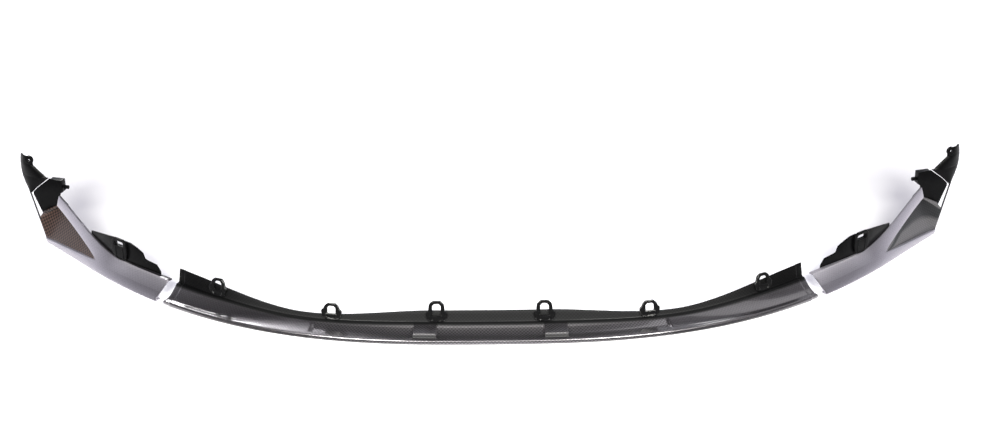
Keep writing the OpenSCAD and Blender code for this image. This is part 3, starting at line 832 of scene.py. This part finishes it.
def winglet_out(z):
    """The winglet's outer edge at a height."""
    return OUTER_W - OUTER_BEND * (z - OUTER_Z) ** 2


def curve_through(points, count):
    """A smooth line through a few points."""
    ends = [points[0] * 2 - points[1]] + points + [points[-1] * 2 - points[-2]]
    line = []
    for a, b, c, d in zip(ends, ends[1:], ends[2:], ends[3:]):
        for k in range(count):
            t = k / count
            line.append(0.5 * (2 * b + (c - a) * t + (2 * a - 5 * b + 4 * c - d) * t ** 2
                               + (3 * b - a - 3 * c + d) * t ** 3))
    return line + [points[-1]]


horn_root = edge_point(CORNER_AT, HORN_C, HORN_ROOT_Z, HORN_ALONG)
horn_tip = end_point(winglet_out(-3) - 1.5, 5.4, -3)
spine = curve_through([end_point(47.5, -4, -59), horn_root, horn_root.lerp(horn_tip, 0.4),
                       horn_tip], 5)


def horn_point(p, k):
    """The horn's section: five points, bowed in front of the spine."""
    return p - Vector((4, 1 + 4.4 * k * (4 - k) / 16, 0)) * MM * (1 - k / 4)


horn, _ = lay_grid("horn", [[horn_point(p, k) for k in range(5)] for p in reversed(spine)])
bevel(thicken(horn, SKIN, even=False), 0.5, segments=2)
# The horn's mask paints shade on all of it; matt dulls it.
for layer in ("horn", "matt"):
    paint(horn, layer, {v.index: 1.0 for v in horn.data.vertices})
skin = join("right_corner_skin_part", [skin, horn])
both_hands(skin, "corner_skin", right_carbon, left_carbon)

# %% [markdown]
# The winglet is a curved fin. It is a sheet laid on the same outline as in the CAD model,
# with more points so that it bends smoothly. A round boss is joined to it, and one Boolean
# drills the screw hole through both.

# %% Winglets
WINGLET_T, BOW, FLARE = 3.5, 5, 9
LOBE_W, LOBE_Z, BOSS_R, BOSS_L, HOLE_R = 56.5, 68, 8.5, 5.5, 2.75


def winglet_b(f, z):
    """How far back the winglet lies, a share f of the way to its outer edge."""
    return -BOW * 4 * f * (1 - f) * ramp(z, -15, 25) + FLARE * f * f


def rod(name, radius, length, place, axis, edge=0.0):
    """A cylinder along an axis, its rims broken by a bevel."""
    only(None)
    bpy.ops.mesh.primitive_cylinder_add(vertices=48, radius=radius * MM, depth=length * MM,
                                        location=place,
                                        rotation=axis.to_track_quat("Z", "Y").to_euler())
    piece = bpy.context.object
    piece.name = name
    bpy.ops.object.transform_apply(location=True, rotation=True, scale=True)
    return bevel(piece, edge) if edge else piece


levels = sorted({round(mix(WINGLET_FOOT, WINGLET_TOP, k / 40), 3) for k in range(41)}
                | {z for z, _ in INNER_EDGE})
rows = []
for z in levels:
    low, high = lookup(z, INNER_EDGE), winglet_out(z)
    shares = [1 - k / 14 for k in range(15)]
    rows.append([end_point(mix(low, high, f), winglet_b(f, z), z) for f in shares])
winglet, _ = lay_grid("right_winglet_part", rows)
bevel(thicken(winglet, WINGLET_T), 0.5)

inner, outer_w = lookup(LOBE_Z, INNER_EDGE), winglet_out(LOBE_Z)
lobe_middle = winglet_b((LOBE_W - inner) / (outer_w - inner), LOBE_Z) + WINGLET_T / 2
lobe = end_point(LOBE_W, lobe_middle, LOBE_Z)
end_back = end_offset(0, 1, 0).normalized()
boss = rod("boss", BOSS_R, BOSS_L, lobe, end_back, 0.7)
drill = rod("drill", HOLE_R, 30, lobe, end_back)
for tool, operation in ((boss, "UNION"), (drill, "DIFFERENCE")):
    apply_modifier(winglet, "BOOLEAN", object=tool, operation=operation, solver="EXACT")
for tool in (boss, drill):
    bpy.data.objects.remove(tool)
both_hands(winglet, "winglet", bracket_plastic)

# %% [markdown]
# The locating peg is a short round pin on the mount block's inner side, which finds its
# hole in the bumper. A cylinder with rounded rims is enough. It stands a little clear of
# the block, as in the CAD model, where every piece is a solid of its own.

# %% Locating pegs
BLOCK_SIDE, PEG_GAP, PEG_R, PEG_L = -7.5, 0.3, 3.8, 10
end_along = end_offset(1, 0, 0).normalized()
peg_middle = end_point(BLOCK_SIDE - PEG_GAP - PEG_L / 2, 7.5, 14)
peg = rod("right_locating_peg_part", PEG_R, PEG_L, peg_middle, end_along, 0.8)
both_hands(peg, "locating_peg", bracket_plastic)

# %% [markdown]
# The mount block and the flange bracket are plain moulded plates. Each is a copy of its
# CAD solid: its loose triangles are merged, its flat faces are made whole again, and its
# edges are rounded with a bevel as a mould would leave them.

# %% Mount blocks and flange brackets
def merge(piece):
    """Merges the points that lie on each other."""
    return edit_all(piece, bpy.ops.mesh.remove_doubles, threshold=0.01 * MM)


def moulded(node, edge):
    """A copy of a CAD node's solid with rounded edges."""
    source = bpy.data.objects[node]
    piece = bpy.data.objects.new(node + "_part", source.data.copy())
    scene.collection.objects.link(piece)
    piece.matrix_world = source.matrix_world.copy()
    piece.data.materials.clear()
    only(piece)
    bpy.ops.object.transform_apply(location=True, rotation=True, scale=True)
    edit_all(merge(piece), bpy.ops.mesh.dissolve_limited, angle_limit=math.radians(1))
    return bevel(piece, edge, angle=30)


for name, edge in (("mount_block", 0.5), ("flange_bracket", 0.6)):
    both_hands(moulded("right_" + name, edge), name, bracket_plastic, angle=30)

# %% [markdown]
# ## Ears
# Eight ears stand along the back. They share one form: a wide foot with a narrower ring
# above it, and a window for the clip. Each ear is a sheet between two closed outlines,
# the window and the rim, and both are sampled along the same rays from the window's
# middle. Solidify and a three-step bevel make it a moulded part. A bead laid on the foot
# and a bar under the window catch the light.

# %% Ear shapes
EAR_T, RING_TOP, RAYS = 4.5, 5.5, 72


def arc_points(cx, cz, r, start, end, count=8):
    angles = [math.radians(mix(start, end, k / count)) for k in range(count + 1)]
    return [Vector((cx + r * math.cos(a), cz + r * math.sin(a))) for a in angles]


def both_sides(side):
    """Half an outline and its mirror image, one after the other."""
    return [Vector(p) for p in side] + [Vector((-x, z)) for x, z in reversed(side)]


def ear_outline(foot_w, ring_w, h, foot_h=18, wing=1.5, chamfer=6):
    f, r, c = foot_w / 2, ring_w / 2, foot_w * 0.3
    side = [(f + wing, foot_h - 2), (f + wing, foot_h), (r + wing, foot_h + 2),
            (r, h - chamfer), (r - chamfer, h)]
    return (arc_points(c - f, c, c, 180, 270) + arc_points(f - c, c, c, 270, 360)
            + both_sides(side))


def window_outline(w, sill, top):
    c = min(w, top - sill) * 0.25
    return both_sides([(w / 2, sill), (w / 2, top - c), (w / 2 - c, top)])


def ray_hit(outline, middle, angle):
    """The point where a ray from the middle meets a closed outline."""
    d = Vector((math.cos(angle), math.sin(angle)))
    reach = []
    for a, b in zip(outline, outline[1:] + outline[:1]):
        e, f = b - a, a - middle
        across = d.x * e.y - d.y * e.x
        if abs(across) > 1e-9:
            t, s = (f.x * e.y - f.y * e.x) / across, (f.x * d.y - f.y * d.x) / across
            if t > 0 and -1e-6 <= s <= 1 + 1e-6:
                reach.append(t)
    return middle + d * max(reach)


def soften(values, rounds):
    """Averages each point of a closed line with its neighbours."""
    for _ in range(rounds):
        values = [(values[i - 1] + values[i] * 2 + values[(i + 1) % len(values)]) / 4
                  for i in range(len(values))]
    return values


def tube(name, path, radius, frame_of):
    """A round bead along a flat path, in the ear's own axes; its ends are closed."""
    rows = []
    path = [path[0]] + path + [path[-1]]
    for i, p in enumerate(path):
        t = (path[min(i + 1, len(path) - 1)] - path[max(i - 1, 0)]).normalized()
        r = 0 if i in (0, len(path) - 1) else radius
        ring = []
        for k in range(11):
            a = 2 * math.pi * k / 10
            ring.append(frame_of(p.x - t.y * r * math.sin(a), -EAR_T - r * math.cos(a) * 0.9,
                                 p.y + t.x * r * math.sin(a)))
        rows.append(ring)
    bead, _ = lay_grid(name, rows)
    return edit_all(merge(bead), bpy.ops.mesh.normals_make_consistent, inside=False)


def ear(name, foot_w, ring_w, window, sill, h, frame_of):
    """One ear, standing where frame_of puts its own width, depth and height."""
    top = h - RING_TOP
    middle = Vector((0, (sill + top) / 2))
    angles = [2 * math.pi * k / RAYS for k in range(RAYS)]
    rim = soften([ray_hit(ear_outline(foot_w, ring_w, h), middle, a) for a in angles], 2)
    hole = soften([ray_hit(window_outline(window, sill, top), middle, a) for a in angles], 1)
    rows = []
    for k in [*range(RAYS), 0]:
        rows.append([frame_of(p.x, -EAR_T, p.y)
                     for p in (rim[k], rim[k].lerp(hole[k], 0.5), hole[k])])
    body, _ = lay_grid(name, rows)
    bevel(thicken(merge(body), EAR_T), 1.0)
    half = foot_w * 0.27
    u_path = [Vector((-half, sill - 1.5)), *arc_points(4 - half, 7, 4, 180, 270, 5),
              *arc_points(half - 4, 7, 4, 270, 360, 5), Vector((half, sill - 1.5))]
    bar = [Vector((mix(-window * 0.62, window * 0.62, k / 4), sill - 0.6)) for k in range(5)]
    return join(name, [body, tube("bead", u_path, 1.0, frame_of), tube("bar", bar, 1.1, frame_of)])


def wall_frame(x, chord, z, lean, shift):
    """Gives the function that puts an ear's own point on the wall at a station."""
    a, b = edge_point(x - 5, chord(x - 5), 0), edge_point(x + 5, chord(x + 5), 0)
    along = (b - a).normalized()
    behind = Vector((-along.y, along.x, 0))
    up = Vector((0, 0, math.cos(lean))) + behind * math.sin(lean)
    depth = behind * math.cos(lean) - Vector((0, 0, math.sin(lean)))
    origin = edge_point(x, chord(x), z)
    return lambda w, d, h: origin + (along * w + depth * (d + shift[0]) + up * (h + shift[1])) * MM


print("an ear is", EAR_T, "mm thick")

# %% [markdown]
# Six ears are bonded to the flange of the centre lip and lean with it. A wider one stands
# on each corner's bracket. Each is placed by its station along the front edge.

# %% Ears on the centre lip and on the corner brackets
for name, x, h in (("inner", 97, 39), ("outer", 293, 31), ("end", LIP_HALF - 84, 34)):
    at = wall_frame(x, lambda v: ridge_c(v) + SHELF_W, along_lip(x, *RIDGE_Z) + SHELF_RISE,
                    FLANGE_LEAN, (-0.4, 0.4))
    part = ear("right_" + name + "_ear_part", foot_w=36, ring_w=27, window=15, sill=12, h=h,
               frame_of=at)
    both_hands(part, name + "_ear", ear_plastic)

BRACKET_EAR_AT = CORNER_FROM + 24 + 75
at = wall_frame(BRACKET_EAR_AT, lambda x: top_c(x) + strip_w(x), top_z(BRACKET_EAR_AT) + 0.4,
                0, (-0.2, 0))
part = ear("right_bracket_ear_part", foot_w=36, ring_w=38, window=24, sill=29, h=44, frame_of=at)
both_hands(part, "bracket_ear", bracket_plastic)

# %% [markdown]
# ## Floor
# The set lies on a plain white floor. The floor glows for the camera and for reflections,
# so that it reads as clean white. It doesn't glow in a region just behind the corner
# pieces, because the lamps' soft shadows have to be seen there. For reflections it is dark
# ahead of the nose, which gives the nose and the rim the tone that they have in the
# photograph.

# %% Floor
only(None)
bpy.ops.mesh.primitive_plane_add(size=40, location=(0, 0, -0.0005))
floor = bpy.context.object
floor.name = "floor"
floor_material, tree = new_material("white_floor")[:2]
tree.nodes.clear()


def map_range(value, low, high):
    """0 at low, 1 at high and level beyond them."""
    inputs = {"Value": value, "From Min": low, "From Max": high}
    return add_node(tree, "ShaderNodeMapRange", inputs, clamp=True).outputs[0]


def mix_shaders(factor, a, b):
    """One shader that gives way to another."""
    return add_node(tree, "ShaderNodeMixShader", {0: factor, 1: a.outputs[0], 2: b.outputs[0]})


path = add_node(tree, "ShaderNodeLightPath").outputs
spot = add_node(tree, "ShaderNodeTexCoord").outputs["Object"]
spread = add_node(tree, "ShaderNodeSeparateXYZ", {0: spot}).outputs
aside = math_node(tree, "ABSOLUTE", spread[0])
either_side = add_node(tree, "ShaderNodeCombineXYZ", {0: aside, 1: spread[1]}).outputs[0]
away = add_node(tree, "ShaderNodeVectorMath", {0: either_side, 1: (0.80, 0.33, 0)},
                operation="DISTANCE").outputs["Value"]
far = add_node(tree, "ShaderNodeVectorMath", {0: spot}, operation="LENGTH").outputs["Value"]
outside = math_node(tree, "MULTIPLY_ADD", spread[1], -0.5, aside)
clear = math_node(tree, "MAXIMUM", map_range(away, 0.13, 0.40), map_range(outside, 0.69, 0.74))
white = mix_node(tree, map_range(far, 1.0, 1.9), (0.35, 0.35, 0.37, 1), (1, 1, 1, 1))
seen = math_node(tree, "MAXIMUM", path["Is Camera Ray"],
                 math_node(tree, "MAXIMUM", path["Is Glossy Ray"], path["Is Transmission Ray"]))
lit = add_node(tree, "ShaderNodeBsdfDiffuse", {"Color": (0.75, 0.75, 0.75, 1)})
glow = add_node(tree, "ShaderNodeEmission", {
    "Color": mix_node(tree, clear, (0, 0, 0, 1), white), "Strength": seen})
both = add_node(tree, "ShaderNodeAddShader", {0: lit.outputs[0], 1: glow.outputs[0]})

side_way = math_node(tree, "MINIMUM", aside, 0.6)
swept = math_node(tree, "MULTIPLY", math_node(tree, "MULTIPLY", side_way, side_way), 0.42)
ahead = map_range(math_node(tree, "SUBTRACT", spread[1], swept), -0.243, -0.262)
dark = add_node(tree, "ShaderNodeEmission", {"Color": (0.20, 0.20, 0.20, 1)})
surface = mix_shaders(math_node(tree, "MULTIPLY", ahead, path["Is Glossy Ray"]), both, dark)
add_node(tree, "ShaderNodeOutputMaterial", {"Surface": surface.outputs[0]})
floor.data.materials.append(floor_material)
print("floor's material has", len(tree.nodes), "nodes")

# %% [markdown]
# ## World
# A glossy skin shows the room around it, so the world has three faces. The camera sees
# plain white. Reflections see a studio whose brightness steps down with height and towards
# the front. Everything else gets a weak, even light, a little blue, as in the photograph's
# shadows.

# %% World
world = bpy.data.worlds.new("studio")
scene.world = world
world.use_nodes = True
tree = world.node_tree
tree.nodes.clear()
path = add_node(tree, "ShaderNodeLightPath").outputs
direction = add_node(tree, "ShaderNodeTexCoord").outputs["Generated"]
to_side, to_back, to_top = add_node(tree, "ShaderNodeSeparateXYZ", {0: direction}).outputs


def brightness(height, stops):
    """A grey that follows a direction's component through a few stops."""
    node = add_node(tree, "ShaderNodeValToRGB", {0: height})
    band = node.color_ramp.elements
    while len(band) < len(stops):
        band.new(0.5)
    for element, (place, value) in zip(band, stops):
        element.position = place
        element.color = (value, value, value * 1.03, 1)
    return node.outputs[0]


def background(colour):
    return add_node(tree, "ShaderNodeBackground", {"Color": colour})


backdrop = brightness(to_top, [(0, 1), (0.25, 0.85), (0.45, 0.68), (0.58, 0.38), (0.72, 0.1),
                               (1, 0.05)])
wings = brightness(to_top, [(0, 1.1), (0.1, 1.1), (0.35, 0.7), (0.64, 0.3), (0.94, 0.08)])
front = brightness(math_node(tree, "MULTIPLY", to_back, -1.0),
                   [(0, 1), (0.12, 0.45), (0.5, 0.06), (0.9, 0.1), (1, 0.25)])
around = mix_node(tree, math_node(tree, "ABSOLUTE", to_side), backdrop, wings)
studio = background(mix_node(tree, 1, around, front, "MULTIPLY"))
room = mix_shaders(path["Is Glossy Ray"], background((0.15, 0.13, 0.24, 1)), studio)
shown = mix_shaders(path["Is Camera Ray"], room, background((1, 1, 1, 1)))
add_node(tree, "ShaderNodeOutputWorld", {"Surface": shown.outputs[0]})
print("world has", len(tree.nodes), "nodes")

# %% [markdown]
# ## Lamps
# Two large soft boxes in front light the corner blades and throw the soft shadows behind
# them. The lamps behind are there for their reflections: three draw the long highlight on
# the left half of the rim, one a faint one on the right half, and a wide one a soft sheen.

# %% Lamps
def soft_box(name, place, look_at, size, power, colour=(1, 1, 1), lean=0):
    """A rectangular area lamp that faces a point; lean turns it in its own plane."""
    only(None)
    bpy.ops.object.light_add(type="AREA", location=place)
    lamp = bpy.context.object
    lamp.name = name
    lamp.data.shape = "RECTANGLE"
    lamp.data.size, lamp.data.size_y = size
    lamp.data.energy = power
    lamp.data.color = colour
    lamp.rotation_euler = (Vector(look_at) - Vector(place)).to_track_quat("-Z", "Y").to_euler()
    lamp.rotation_euler.rotate_axis("Z", math.radians(lean))
    print(name, "gives", power, "W")


WARM = (1, 1, 0.94)
soft_box("left_box", (-1.2, -2.45, 1.65), (-0.75, 0, 0), (1.0, 1.0), 150, WARM)
soft_box("right_box", (1.2, -2.45, 1.65), (0.75, 0, 0), (1.0, 1.0), 150, WARM)
soft_box("streak_box", (-0.95, 2.28, 1.38), (-0.54, -0.10, 0), (0.24, 0.40), 4)
soft_box("streak_end", (-1.13, 2.28, 1.62), (-0.54, -0.10, 0), (0.22, 0.85), 20, lean=-17)
soft_box("streak_fade", (-0.75, 2.28, 1.38), (-0.42, -0.15, 0), (0.16, 0.34), 0.3)
soft_box("faint_streak", (0.80, 2.3, 1.72), (0.37, -0.15, 0), (0.11, 0.3), 0.6)
soft_box("right_glow", (1.45, 0.75, 2.2), (0.53, -0.15, 0), (1.5, 1.5), 8)
